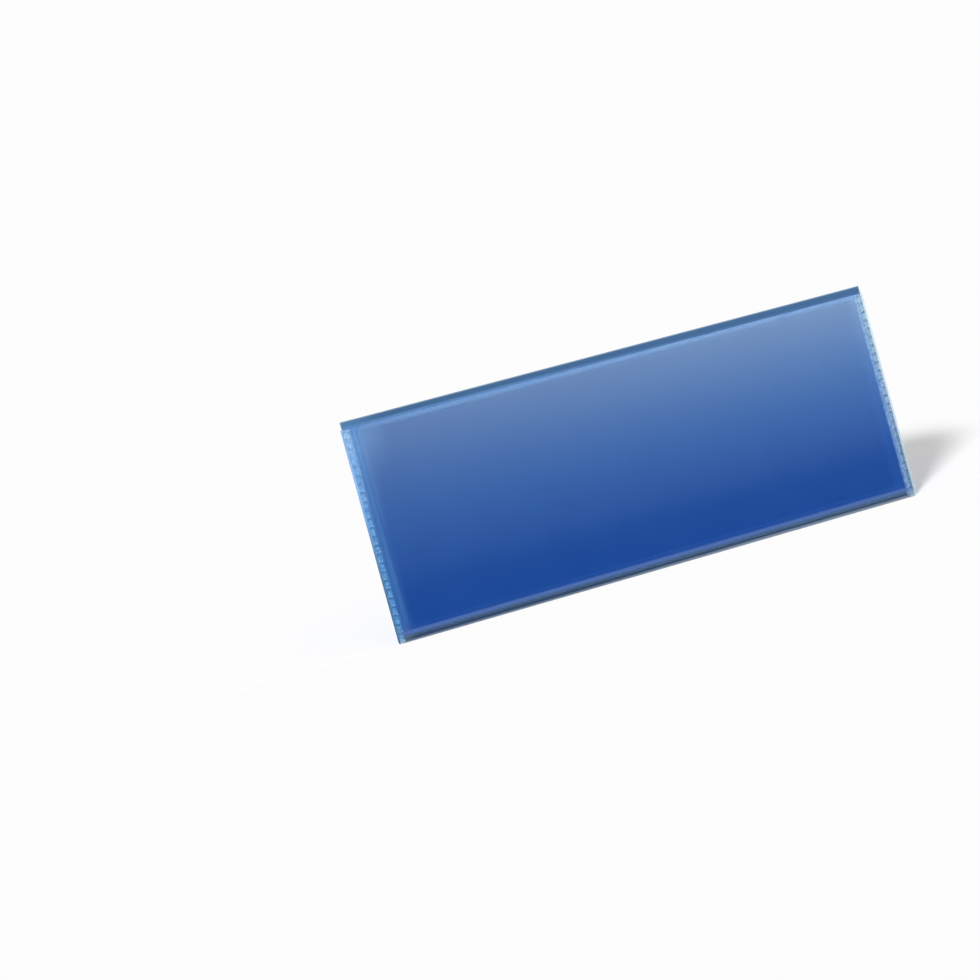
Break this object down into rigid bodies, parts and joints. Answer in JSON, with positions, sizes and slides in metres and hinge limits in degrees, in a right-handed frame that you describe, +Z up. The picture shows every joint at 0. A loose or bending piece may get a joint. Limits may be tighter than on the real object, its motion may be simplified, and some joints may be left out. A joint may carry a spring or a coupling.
{
  "type": "magnetic display pocket",
  "caption": "Flat landscape display pocket: blue plastic back, clear front film welded at the sides and bottom, open top, magnet strips on the back to hold it on steel.",
  "frame": {"origin": "on the outer contact face of the upper magnet strip, at its half height, on the pocket's centre line", "axes": "+X along the pocket's long side, to the right when seen from the front; +Y out of the back, towards the steel; +Z up, towards the open edge"},
  "size_m": [0.223, 0.0034, 0.09],
  "materials": {
    "back_sheet": "semi-gloss blue polypropylene sheet",
    "front_film": "clear glossy polypropylene film",
    "magnet": "matt dark brown magnetic rubber",
    "adhesive": "translucent grey adhesive tape"
  },
  "bodies": {
    "root": {"back_sheet": "back_sheet", "front_film": "front_film", "upper_magnet_strip": "magnet", "lower_magnet_strip": "magnet", "upper_adhesive_tape": "adhesive", "lower_adhesive_tape": "adhesive"}
  },
  "joints": []
}
